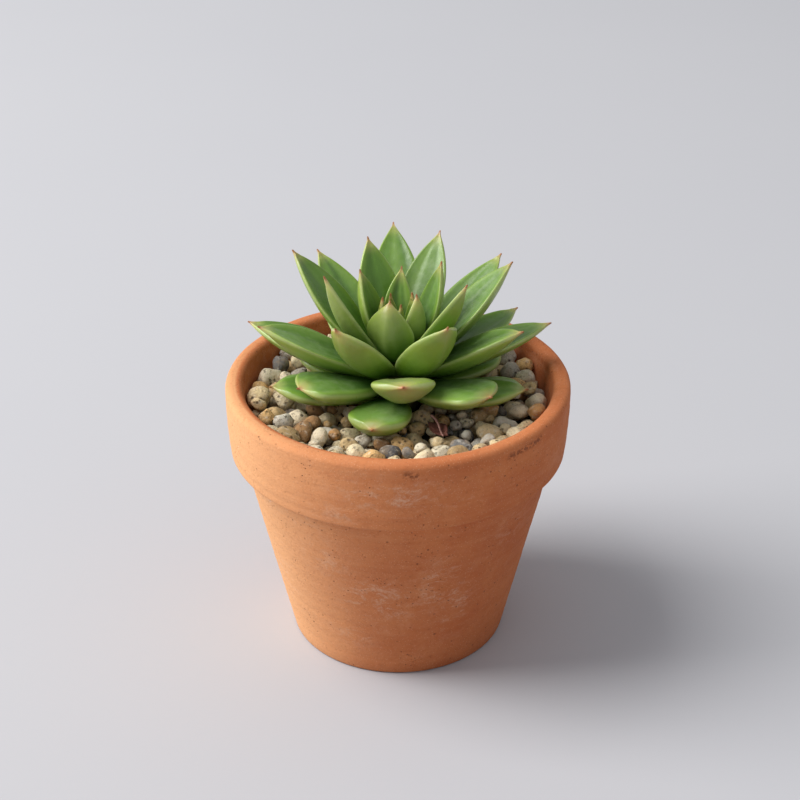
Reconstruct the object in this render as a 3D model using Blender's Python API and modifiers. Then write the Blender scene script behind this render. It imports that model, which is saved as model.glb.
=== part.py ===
"""A potted rosette succulent: terracotta pot, soil, gravel top dressing, stem and separate leaves.

Run with: blender --background --python part.py
Frame: the origin is the centre of the pot's underside, on the pot's axis. +Z is up and -Y is the front.
The tables and profiles are in millimetres and degrees, and MM turns them into metres.
"""

import math

import bpy
import numpy as np

MM = 0.001

# --- Pot: a turned terracotta pot with a collar and one drainage hole ---
POT_HEIGHT = 91.0
RIM_RADIUS = 55.0
RIM_INNER_RADIUS = 49.2
RIM_ROUNDING = 2.2
COLLAR_BOTTOM_Z = 67.2
COLLAR_BOTTOM_RADIUS = 53.9
BODY_TOP_RADIUS = 50.3
BASE_RADIUS = 35.6
BASE_ROUNDING = 1.2
INNER_FLOOR_Z = 7.0
INNER_FLOOR_RADIUS = 29.6
INNER_COLLAR_RADIUS = 45.4
DRAIN_RADIUS = 8.0
POT_STEPS = 60

# --- Fill ---
GAP = 0.3
SOIL_TOP_Z = 73.6
GRAVEL_BOTTOM_Z = 73.9
GRAVEL_TOP_Z = 80.2
GRAVEL_RISE = 4.6
GRAVEL_RISE_START = 26.0
GRAVEL_BUMP = 2.4
PEBBLE_SIZE = 7.0
FILL_STEPS = 54

# --- Stem: a short caudex with its tap root, as (radius, height) from its top down ---
STEM_PROFILE = [
    (0.0, 100.0), (0.9, 99.5), (2.2, 98.0), (3.8, 95.5), (5.0, 92.0), (5.9, 88.0), (6.2, 84.0),
    (6.3, 78.0), (5.6, 70.0), (4.4, 60.0), (2.8, 50.0), (1.4, 43.5), (0.0, 41.0),
]
STEM_STEPS = 24
WELL_CLEARANCE = 0.5

# --- Leaves ---
LEAF_STATIONS = 8
LEAF_AROUND = 10
EDGE_THICKNESS = 0.55
ATTACH_CLEARANCE = 1.0

# Each kind of leaf: half width, thickness, upward curl in degrees, where it is widest (part of its length),
# how far the upper face is channelled, how blunt the end is, how drawn out the point is, how wide the base is,
# how full the end is, how round the underside is, and the share of the thickness above the midline.
LEAF_KINDS = {
    "lower": dict(half_width=9.2, thickness=6.0, curl=10, widest=0.66, channel=0.02, blunt=3.0, point=0.15,
                  base_width=0.34, full_end=3.2, belly=2.0, top_share=0.20),
    "outer": dict(half_width=8.4, thickness=5.6, curl=13, widest=0.58, channel=0.15, blunt=1.9, point=0.5,
                  base_width=0.34, full_end=2.4, belly=1.55, top_share=0.35),
    "upper": dict(half_width=8.2, thickness=5.2, curl=22, widest=0.56, channel=0.17, blunt=1.8, point=0.5,
                  base_width=0.34, full_end=2.4, belly=1.55, top_share=0.35),
    "middle": dict(half_width=6.2, thickness=4.4, curl=30, widest=0.50, channel=0.18, blunt=1.8, point=0.5,
                   base_width=0.36, full_end=2.4, belly=1.55, top_share=0.35),
    "heart": dict(half_width=4.0, thickness=3.0, curl=55, widest=0.45, channel=0.22, blunt=1.8, point=0.5,
                  base_width=0.40, full_end=2.4, belly=1.55, top_share=0.35),
}

REAR_LOW = dict(half_width=7.2, thickness=5.0)
FRONT_CUP = dict(half_width=9.0, thickness=6.4, curl=34, blunt=3.0, point=0.15, base_width=0.45, belly=2.2)

# Each leaf: azimuth (0 is +X, 270 is the front), tip radius, tip height, base height, and what differs
# from its kind.
LEAVES = {
    "lower": [
        (256.5, 34.4, 90.0, 84.8, dict(half_width=9.5, thickness=6.8, full_end=4.5)),
        (191, 41.3, 91.2, 84.2, dict(half_width=8.6, thickness=5.2, blunt=2.3)),
        (347, 42, 91.2, 84.2, dict(half_width=8.6, thickness=5.2, blunt=2.3)),
        (146, 40, 89.5, 84.2, REAR_LOW),
        (106, 40, 89.5, 84.2, REAR_LOW),
        (68, 40, 89.5, 84.2, REAR_LOW),
        (30, 40, 89.5, 84.2, REAR_LOW),
        (213, 37, 97.2, 88.6, dict(thickness=6.2, blunt=5.0, full_end=4.0)),
        (317, 39, 97.7, 88.0, dict(thickness=6.4, blunt=5.0, full_end=4.0)),
        (273, 30, 103.0, 89.2,
         dict(half_width=9.9, thickness=7.1, curl=26, channel=0.0, full_end=3.0, top_share=0.38)),
    ],
    "outer": [
        (39.5, 51.6, 99.0, 87.4, dict(half_width=7.4, thickness=4.6)),
        (82, 46, 100.0, 88.4, dict(half_width=7.8)),
        (121, 46, 100.0, 87.6, dict(half_width=7.8)),
        (163.5, 50.5, 103.0, 88.4, {}),
        (13, 50.4, 104.0, 89.5, dict(half_width=7.3, thickness=5.2)),
        (189.5, 44, 112.0, 90.5, dict(thickness=6.2)),
        (341.5, 40.5, 113.0, 90.9, dict(half_width=7.9, thickness=5.9)),
    ],
    "upper": [
        (47, 50, 117.0, 91.4, dict(half_width=7.5)),
        (126, 45.5, 118.4, 90.2, dict(half_width=7.5)),
        (92, 46.4, 124.0, 92.0, dict(half_width=8.0)),
        (156.2, 36.5, 128.0, 92.4, {}),
        (14, 37, 126.5, 92.9, dict(half_width=8.0)),
        (64, 31, 129.0, 93.8, dict(half_width=7.3)),
        (113, 25, 129.0, 94.6, dict(half_width=6.7, curl=26)),
        (226, 27.4, 117.5, 93.0, FRONT_CUP),
        (305.5, 26, 118.8, 93.1, FRONT_CUP),
    ],
    "middle": [
        (200, 24, 129.5, 95.2, dict(half_width=5.7, curl=34)),
        (332, 23.8, 128.0, 96.2, dict(half_width=5.8, thickness=4.8)),
        (28, 15.5, 127.5, 95.4, dict(half_width=5.6, curl=38)),
        (159, 12.8, 126.0, 96.2, dict(half_width=6.0, curl=36)),
        (85, 13.6, 123.0, 97.0, dict(half_width=4.8, curl=26)),
    ],
    "heart": [
        (248.5, 6.6, 120.4, 96.6,
         dict(half_width=7.9, thickness=4.4, curl=78, widest=0.52, base_width=0.45)),
        (334, 6.4, 121.0, 98.0, dict(half_width=5.3, thickness=4.7)),
        (174, 4.8, 118.4, 98.4, dict(half_width=3.2, thickness=2.4)),
        (44, 6.2, 118.3, 98.6, dict(half_width=2.5, thickness=2.0)),
        (112, 6.4, 117.2, 99.2, dict(half_width=2.4, thickness=2.0)),
        (313, 1.5, 116.6, 100.6, dict(half_width=2.0, thickness=2.0, curl=20, base_radius=0.5)),
    ],
}

# --- The dried leaf that lies on the gravel in front of the stem ---
DRIED_LEAF = dict(half_width=2.6, thickness=1.3, curl=35, widest=0.45, channel=0.25, blunt=1.7, point=0.4,
                  base_width=0.3, full_end=2.0, belly=1.4, top_share=0.35, base_radius=0.0, base_z=0.0,
                  tip_radius=12.0, tip_z=1.2)
DRIED_LEAF_PLACE = (9.5, -19.0, 82.6)
DRIED_LEAF_TURN = 301

COLOURS = {
    "terracotta": (0.55, 0.23, 0.10, 0.85),
    "gravel": (0.48, 0.40, 0.30, 0.95),
    "soil": (0.045, 0.030, 0.020, 0.95),
    "stem": (0.16, 0.13, 0.05, 0.75),
    "leaf": (0.13, 0.27, 0.06, 0.45),
    "dried_leaf": (0.13, 0.05, 0.035, 0.8),
}


def clear_scene():
    for old in list(bpy.data.objects):
        bpy.data.objects.remove(old, do_unlink=True)


def make_material(name):
    red, green, blue, roughness = COLOURS[name]
    material = bpy.data.materials.new(name)
    material.use_nodes = True
    shader = material.node_tree.nodes["Principled BSDF"]
    shader.inputs["Base Color"].default_value = (red, green, blue, 1.0)
    shader.inputs["Roughness"].default_value = roughness
    shader.inputs["Metallic"].default_value = 0.0
    return material


def add_object(name, mesh, collection, material):
    obj = bpy.data.objects.new(name, mesh)
    collection.objects.link(obj)
    mesh.materials.append(material)
    return obj


def arc(centre, radius, start, end, count):
    """Points on an arc of the turned profile, from start to end in degrees."""
    points = []
    for step in range(count):
        angle = math.radians(start + (end - start) * step / (count - 1))
        points.append((centre[0] + radius * math.cos(angle), centre[1] + radius * math.sin(angle)))
    return points


def add_turned(name, profile, steps, closed, collection, material):
    """A profile of (radius, height) points, turned about Z by a Screw modifier."""
    mesh = bpy.data.meshes.new(name)
    vertices = [(radius * MM, 0.0, height * MM) for radius, height in profile]
    edges = [(i, i + 1) for i in range(len(profile) - 1)]
    if closed:
        edges.append((len(profile) - 1, 0))
    mesh.from_pydata(vertices, edges, [])
    obj = add_object(name, mesh, collection, material)
    screw = obj.modifiers.new("Turn", "SCREW")
    screw.axis = "Z"
    screw.angle = math.tau
    screw.steps = steps
    screw.render_steps = steps
    screw.use_merge_vertices = True
    screw.merge_threshold = 0.00001
    screw.use_smooth_shade = True
    return obj


def inner_wall_radius(height):
    """Radius of the pot's inner wall: it widens to the collar, then more slowly to the rim."""
    heights = [INNER_FLOOR_Z, COLLAR_BOTTOM_Z, POT_HEIGHT]
    radii = [INNER_FLOOR_RADIUS, INNER_COLLAR_RADIUS, RIM_INNER_RADIUS]
    return float(np.interp(height, heights, radii))


def stem_radius(height):
    """Radius of the stem at a height."""
    heights = [z for _, z in reversed(STEM_PROFILE)]
    radii = [r for r, _ in reversed(STEM_PROFILE)]
    return float(np.interp(height, heights, radii))


def pot_profile():
    """The closed section of the pot, from the rim down the outside, through the drain and up the inside."""
    rim = RIM_ROUNDING
    profile = []
    profile += arc((RIM_RADIUS - rim, POT_HEIGHT - rim), rim, 90, 0, 5)
    profile += [(RIM_RADIUS - 0.2, POT_HEIGHT - 12.0)]
    profile += arc((COLLAR_BOTTOM_RADIUS - 1.0, COLLAR_BOTTOM_Z + 1.0), 1.0, 0, -90, 3)
    profile += [(BODY_TOP_RADIUS + 0.9, COLLAR_BOTTOM_Z - 0.1), (BODY_TOP_RADIUS, COLLAR_BOTTOM_Z - 1.3)]
    profile += arc((BASE_RADIUS - BASE_ROUNDING, BASE_ROUNDING), BASE_ROUNDING, -10, -90, 3)
    profile += [(DRAIN_RADIUS + 0.6, 0.0), (DRAIN_RADIUS, 0.6), (DRAIN_RADIUS, INNER_FLOOR_Z)]
    profile += [(INNER_FLOOR_RADIUS - 2.0, INNER_FLOOR_Z), (inner_wall_radius(9.0), 9.0)]
    profile += [(INNER_COLLAR_RADIUS, COLLAR_BOTTOM_Z)]
    inner = (RIM_INNER_RADIUS + rim, POT_HEIGHT - rim)
    profile += arc(inner, rim, 180, 100, 5)
    return profile


def soil_profile():
    """Soil from the inner floor to the gravel, with a tapering well for the root."""
    root_end = STEM_PROFILE[-1][1]
    well = [(0.0, root_end - WELL_CLEARANCE)]
    for radius, height in reversed(STEM_PROFILE[:-1]):
        if height < SOIL_TOP_Z:
            well.append((radius + WELL_CLEARANCE, height))
    well.append((stem_radius(SOIL_TOP_Z) + WELL_CLEARANCE, SOIL_TOP_Z))
    bottom = INNER_FLOOR_Z + GAP
    outside = [
        (inner_wall_radius(SOIL_TOP_Z) - GAP, SOIL_TOP_Z),
        (inner_wall_radius(COLLAR_BOTTOM_Z) - GAP, COLLAR_BOTTOM_Z),
        (inner_wall_radius(10.0) - GAP, 10.0),
        (INNER_FLOOR_RADIUS - 2.6, bottom),
        (0.0, bottom),
    ]
    return well + outside


def gravel_height(radius):
    """Level of the gravel: flat round the stem, then rising towards the wall."""
    reach = inner_wall_radius(GRAVEL_TOP_Z) - GRAVEL_RISE_START
    share = min(1.0, max(0.0, (radius - GRAVEL_RISE_START) / reach))
    return GRAVEL_TOP_Z + GRAVEL_RISE * share * share * (3.0 - 2.0 * share)


def add_gravel_bed(collection, material):
    """The gravel layer as one ring with a pebbly top, so that it closes around the stem."""
    hole = stem_radius(GRAVEL_BOTTOM_Z) + 1.0
    edge_top = inner_wall_radius(GRAVEL_TOP_Z) - GAP
    edge_bottom = inner_wall_radius(GRAVEL_BOTTOM_Z) - GAP
    top = [(float(radius), gravel_height(radius)) for radius in np.linspace(hole, edge_top - 0.4, 14)]
    side = [(edge_top, GRAVEL_TOP_Z + GRAVEL_RISE - 2.6), (edge_bottom, GRAVEL_BOTTOM_Z)]
    inside = [(hole, GRAVEL_BOTTOM_Z)]
    bed = add_turned("gravel_bed", top + side + inside, FILL_STEPS, True, collection, material)
    group = bed.vertex_groups.new(name="top")
    group.add(list(range(len(top))), 1.0, "REPLACE")
    cells = bpy.data.textures.new("Pebbles", "VORONOI")
    cells.noise_scale = PEBBLE_SIZE * MM
    bumps = bed.modifiers.new("Pebbles", "DISPLACE")
    bumps.texture = cells
    bumps.texture_coords = "LOCAL"
    bumps.direction = "Z"
    bumps.vertex_group = "top"
    bumps.mid_level = 0.5
    bumps.strength = -GRAVEL_BUMP * MM
    return bed


def width_share(along, leaf):
    """Width of a leaf along its length, as a part of its full width."""
    widest = leaf["widest"]
    if along < widest:
        swell = math.sin(0.5 * math.pi * along / widest) ** 1.1
        return leaf["base_width"] + (1 - leaf["base_width"]) * swell
    end = (along - widest) / (1 - widest)
    return (1 - end ** leaf["blunt"]) * (1 - leaf["point"] * end ** 9)


def thickness_share(along, leaf):
    """Thickness of a leaf along its length, as a part of its full thickness."""
    if along < 0.45:
        return 0.3 + 0.7 * math.sin(0.5 * math.pi * along / 0.45)
    return 1 - ((along - 0.45) / 0.55) ** leaf["full_end"]


def leaf_midline(leaf, along):
    """Radius, height and heading of the leaf's midline, an arc from its base to its tip."""
    rise = leaf["tip_z"] - leaf["base_z"]
    run = leaf["tip_radius"] - leaf["base_radius"]
    chord = math.hypot(run, rise)
    lift = math.atan2(rise, run)
    half = math.radians(leaf["curl"]) / 2
    radius_of_curve = chord / (2 * math.sin(half))
    heading = lift - half + 2 * half * along
    start = lift - half
    radius = leaf["base_radius"] + radius_of_curve * (math.sin(heading) - math.sin(start))
    height = leaf["base_z"] + radius_of_curve * (math.cos(start) - math.cos(heading))
    return radius, height, heading


def leaf_section(leaf, along, around):
    """One closed cross-section as (across, up) points: a channelled upper face, thin margins and a keel."""
    half_width = leaf["half_width"] * width_share(along, leaf)
    thickness = leaf["thickness"] * thickness_share(along, leaf)
    edge = min(EDGE_THICKNESS, 0.35 * thickness)
    points = []
    for step in range(around):
        angle = math.tau * step / around
        across = math.cos(angle)
        rim = edge * math.sqrt(max(0.0, 1 - across ** 16))
        middle = leaf["channel"] * half_width * across ** 2 + leaf["top_share"] * thickness
        if math.sin(angle) >= -1e-9:
            up = middle + rim
        else:
            up = middle - rim - (thickness - 2 * edge) * (1 - abs(across) ** leaf["belly"])
        points.append((across * half_width, up))
    return points


def leaf_mesh(name, leaf):
    """A leaf lofted through its sections: base, rings and a single tip point. X runs outward, Z up."""
    vertices = []
    for station in range(LEAF_STATIONS - 1):
        along = 1 - (1 - station / (LEAF_STATIONS - 1)) ** 1.25
        radius, height, heading = leaf_midline(leaf, along)
        for across, up in leaf_section(leaf, along, LEAF_AROUND):
            x = radius - up * math.sin(heading)
            z = height + up * math.cos(heading)
            vertices.append((x * MM, across * MM, z * MM))
    faces = []
    for station in range(LEAF_STATIONS - 2):
        for step in range(LEAF_AROUND):
            following = (step + 1) % LEAF_AROUND
            a = station * LEAF_AROUND + step
            b = station * LEAF_AROUND + following
            faces.append((a, b, b + LEAF_AROUND, a + LEAF_AROUND))
    last = (LEAF_STATIONS - 2) * LEAF_AROUND
    tip = len(vertices)
    tip_radius, tip_height, _ = leaf_midline(leaf, 1.0)
    vertices.append((tip_radius * MM, 0.0, tip_height * MM))
    base = len(vertices)
    base_radius, base_height, _ = leaf_midline(leaf, 0.0)
    vertices.append((base_radius * MM, 0.0, base_height * MM))
    for step in range(LEAF_AROUND):
        following = (step + 1) % LEAF_AROUND
        faces.append((last + step, last + following, tip))
        faces.append((base, following, step))
    mesh = bpy.data.meshes.new(name)
    mesh.from_pydata(vertices, [], faces)
    mesh.shade_smooth()
    mesh.set_sharp_from_angle(angle=math.radians(60))
    return mesh


def add_leaves(collection, material):
    """Every leaf turned about the stem, its base standing clear of the stem's side."""
    for kind, rows in LEAVES.items():
        for number, (azimuth, tip_radius, tip_z, base_z, changes) in enumerate(rows, start=1):
            leaf = dict(LEAF_KINDS[kind], tip_radius=tip_radius, tip_z=tip_z, base_z=base_z)
            leaf["base_radius"] = stem_radius(base_z) + ATTACH_CLEARANCE
            leaf.update(changes)
            name = f"leaf_{kind}_{number}"
            obj = add_object(name, leaf_mesh(name, leaf), collection, material)
            obj.rotation_euler.z = math.radians(azimuth)


def add_dried_leaf(collection, material):
    obj = add_object("dried_leaf", leaf_mesh("dried_leaf", DRIED_LEAF), collection, material)
    obj.location = [value * MM for value in DRIED_LEAF_PLACE]
    obj.rotation_euler.z = math.radians(DRIED_LEAF_TURN)


def main():
    clear_scene()
    collection = bpy.data.collections.new("potted_succulent")
    bpy.context.scene.collection.children.link(collection)
    materials = {name: make_material(name) for name in COLOURS}
    add_turned("pot", pot_profile(), POT_STEPS, True, collection, materials["terracotta"])
    add_turned("soil", soil_profile(), FILL_STEPS, False, collection, materials["soil"])
    add_gravel_bed(collection, materials["gravel"])
    add_turned("stem", STEM_PROFILE, STEM_STEPS, False, collection, materials["stem"])
    add_leaves(collection, materials["leaf"])
    add_dried_leaf(collection, materials["dried_leaf"])


main()
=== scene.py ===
"""Looks for the potted succulent: leaves, stones, pot, soil, stem, dried leaf, floor, light and camera."""

import math

import bmesh
import bpy
import numpy as np
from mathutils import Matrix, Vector


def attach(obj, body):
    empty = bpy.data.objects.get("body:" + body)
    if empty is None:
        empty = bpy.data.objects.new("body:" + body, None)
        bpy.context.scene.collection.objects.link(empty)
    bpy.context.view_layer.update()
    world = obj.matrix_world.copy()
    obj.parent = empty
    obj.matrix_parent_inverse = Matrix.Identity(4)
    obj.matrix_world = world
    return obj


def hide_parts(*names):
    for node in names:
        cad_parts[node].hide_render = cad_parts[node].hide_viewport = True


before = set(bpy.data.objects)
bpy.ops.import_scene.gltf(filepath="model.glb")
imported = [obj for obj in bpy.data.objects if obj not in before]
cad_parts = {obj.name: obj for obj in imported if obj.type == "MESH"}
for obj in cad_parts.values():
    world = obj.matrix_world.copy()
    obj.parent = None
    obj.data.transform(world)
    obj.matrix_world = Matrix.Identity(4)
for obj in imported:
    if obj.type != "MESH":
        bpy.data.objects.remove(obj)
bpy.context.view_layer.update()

MM = 0.001


# ---------------------------------------------------------------- colour helpers
def linear(red, green, blue):
    """Linear colour from the usual 0 to 255 display values."""
    out = []
    for value in (red, green, blue):
        value /= 255.0
        out.append(value / 12.92 if value <= 0.04045 else ((value + 0.055) / 1.055) ** 2.4)
    return np.array(out)


def mix(a, b, share):
    """Colours between a and b, with a share for each point."""
    share = np.asarray(share)[..., None]
    return a * (1 - share) + b * share


def smooth(value, low, high):
    """Eased step from 0 at low to 1 at high, which may be the smaller of the two."""
    t = np.clip((np.asarray(value, float) - low) / (high - low), 0, 1)
    return t * t * (3 - 2 * t)


def wave_noise(points, seed, scale, octaves=3):
    """Smooth repeatable noise from sums of sine waves in seeded directions, about -1 to 1."""
    rng = np.random.default_rng(seed)
    total = np.zeros(len(points))
    weight = 1.0
    for octave in range(octaves):
        for _ in range(5):
            direction = rng.normal(size=3)
            direction *= scale * 2 ** octave / np.linalg.norm(direction)
            total += weight * np.sin(points @ direction + rng.uniform(0, math.tau))
        weight *= 0.55
    return total / 4.5


# ---------------------------------------------------------------- mesh helpers
def make_piece(name, vertices, faces, material, replaced):
    """A mesh object, from points in millimetres, that rides on the one body."""
    mesh = bpy.data.meshes.new(name)
    mesh.from_pydata((np.asarray(vertices) * MM).tolist(), [], faces)
    mesh.update()
    mesh.shade_smooth()
    mesh.materials.append(material)
    piece = bpy.data.objects.new(name, mesh)
    bpy.context.scene.collection.objects.link(piece)
    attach(piece, "root")
    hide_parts(*replaced)
    return piece


def paint(piece, name, colours):
    """A colour for each vertex, as a float attribute that the materials read."""
    layer = piece.data.attributes.new(name, "FLOAT_COLOR", "POINT")
    values = np.ones((len(colours), 4), np.float32)
    values[:, :colours.shape[1]] = colours
    layer.data.foreach_set("color", values.ravel())


def ring_faces(rows, around):
    """Four-sided faces between rows of points, where each row is a closed ring."""
    faces = []
    for row in range(rows - 1):
        for step in range(around):
            following = (step + 1) % around
            a = row * around + step
            b = row * around + following
            faces.append((a, b, b + around, a + around))
    return faces


def capped_faces(rows, around):
    """The same faces, with one more face that closes each end."""
    faces = ring_faces(rows, around)
    faces.append(tuple(reversed(range(around))))
    faces.append(tuple((rows - 1) * around + step for step in range(around)))
    return faces


def spin(points, degrees):
    """Points turned about the vertical axis."""
    turn = math.radians(degrees)
    x = points[:, 0] * math.cos(turn) - points[:, 1] * math.sin(turn)
    y = points[:, 0] * math.sin(turn) + points[:, 1] * math.cos(turn)
    return np.stack([x, y, points[:, 2]], -1)


# ---------------------------------------------------------------- node helpers
# The mix node's colour sockets, which share their names with its sockets of other kinds.
MIX_A, MIX_B, MIX_RESULT = 6, 7, 2


class Nodes:
    """Short forms for building a material's nodes. Scales are per metre."""

    def __init__(self, name):
        self.material = bpy.data.materials.new(name)
        self.material.use_nodes = True
        self.tree = self.material.node_tree
        self.shader = self.tree.nodes["Principled BSDF"]

    def add(self, kind, **settings):
        node = self.tree.nodes.new(kind)
        for key, value in settings.items():
            setattr(node, key, value)
        return node

    def link(self, source, target):
        self.tree.links.new(source, target)

    def fill(self, socket, value):
        """Link a socket, or give it a colour or a number."""
        if isinstance(value, bpy.types.NodeSocket):
            self.link(value, socket)
        elif isinstance(value, (tuple, list, np.ndarray)):
            socket.default_value = (*value[:3], 1.0) if len(socket.default_value) == 4 else tuple(value)
        else:
            socket.default_value = value

    def place(self, stretch=None):
        """Coordinates on the piece in metres, stretched along each axis where asked."""
        coordinates = self.add("ShaderNodeTexCoord").outputs["Object"]
        if stretch is None:
            return coordinates
        mapping = self.add("ShaderNodeMapping")
        mapping.inputs["Scale"].default_value = stretch
        self.link(coordinates, mapping.inputs["Vector"])
        return mapping.outputs["Vector"]

    def noise(self, scale, detail=3.0, roughness=0.55, stretch=None, distortion=0.0):
        node = self.add("ShaderNodeTexNoise")
        self.link(self.place(stretch), node.inputs["Vector"])
        node.inputs["Scale"].default_value = scale
        node.inputs["Detail"].default_value = detail
        node.inputs["Roughness"].default_value = roughness
        node.inputs["Distortion"].default_value = distortion
        return node.outputs["Fac"]

    def cells(self, scale):
        """Distance from the nearest of many scattered spots."""
        node = self.add("ShaderNodeTexVoronoi", feature="F1")
        self.link(self.place(), node.inputs["Vector"])
        node.inputs["Scale"].default_value = scale
        return node.outputs["Distance"]

    def attribute(self, name):
        return self.add("ShaderNodeAttribute", attribute_name=name).outputs["Color"]

    def channels(self, colour):
        node = self.add("ShaderNodeSeparateColor")
        self.link(colour, node.inputs["Color"])
        return node.outputs["Red"], node.outputs["Green"], node.outputs["Blue"]

    def remap(self, value, low, high, to_low=0.0, to_high=1.0):
        """Eased step between two values, as smooth() does for points."""
        node = self.add("ShaderNodeMapRange", interpolation_type="SMOOTHSTEP")
        self.link(value, node.inputs["Value"])
        for key, number in (("From Min", low), ("From Max", high), ("To Min", to_low), ("To Max", to_high)):
            node.inputs[key].default_value = number
        return node.outputs["Result"]

    def maths(self, operation, a, b):
        node = self.add("ShaderNodeMath", operation=operation)
        self.fill(node.inputs[0], a)
        self.fill(node.inputs[1], b)
        return node.outputs[0]

    def blend(self, share, a, b):
        """A colour between a and b."""
        node = self.add("ShaderNodeMix", data_type="RGBA", blend_type="MIX")
        self.fill(node.inputs["Factor"], share)
        self.fill(node.inputs[MIX_A], a)
        self.fill(node.inputs[MIX_B], b)
        return node.outputs[MIX_RESULT]

    def bump(self, height, distance, strength, under=None):
        """Relief of a depth in metres, on top of the relief under it."""
        node = self.add("ShaderNodeBump")
        self.link(height, node.inputs["Height"])
        node.inputs["Distance"].default_value = distance
        node.inputs["Strength"].default_value = strength
        if under is not None:
            self.link(under, node.inputs["Normal"])
        return node.outputs["Normal"]

    def finish(self, colour, roughness, normal, **constants):
        """The material, with its colour, roughness and relief joined to the shader."""
        self.fill(self.shader.inputs["Base Color"], colour)
        self.fill(self.shader.inputs["Roughness"], roughness)
        self.link(normal, self.shader.inputs["Normal"])
        for key, value in constants.items():
            self.shader.inputs[key.replace("_", " ")].default_value = value
        return self.material


# ---------------------------------------------------------------- materials
def leaf_material():
    """Waxy skin: painted colour, mottled bloom, fine speckle, uneven gloss and soft light inside."""
    n = Nodes("leaf_skin")
    base = n.attribute("leaf_paint")
    bloom, blush, _ = n.channels(n.attribute("leaf_mask"))
    mottle = n.remap(n.noise(420, 4.0, 0.6), 0.35, 0.68)
    streak = n.remap(n.noise(160, 3.0, 0.6), 0.3, 0.7)
    colour = n.blend(n.maths("MULTIPLY", streak, 0.22), base, linear(90, 128, 38))
    haze = n.maths("MULTIPLY", bloom, n.maths("ADD", n.maths("MULTIPLY", mottle, 0.7), 0.3))
    colour = n.blend(n.maths("MULTIPLY", haze, 0.52), colour, linear(158, 178, 136))
    speck = n.remap(n.cells(1500), 0.06, 0.16, 1.0, 0.0)
    sparse = n.remap(n.noise(300, 2.0), 0.52, 0.62)
    specks = n.maths("MULTIPLY", speck, sparse)
    colour = n.blend(n.maths("MULTIPLY", specks, 0.22), colour, linear(205, 215, 175))
    rust = n.maths("MULTIPLY", blush, n.remap(n.noise(900, 3.0), 0.3, 0.75, 0.35, 1.0))
    colour = n.blend(rust, colour, linear(186, 112, 78))
    gloss = n.remap(n.noise(500, 4.0, 0.6), 0.3, 0.7, 0.27, 0.44)
    roughness = n.maths("ADD", n.maths("MULTIPLY", haze, 0.16), gloss)
    fine = n.bump(n.noise(1700, 3.0, 0.6), 0.00005, 0.35)
    normal = n.bump(n.noise(260, 3.0, 0.55), 0.0004, 0.5, fine)
    return n.finish(
        colour, roughness, normal, Subsurface_Weight=0.2, Subsurface_Radius=(0.9, 1.0, 0.25),
        Subsurface_Scale=0.0022, Specular_IOR_Level=0.5, Coat_Weight=0.1, Coat_Roughness=0.35)


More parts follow.
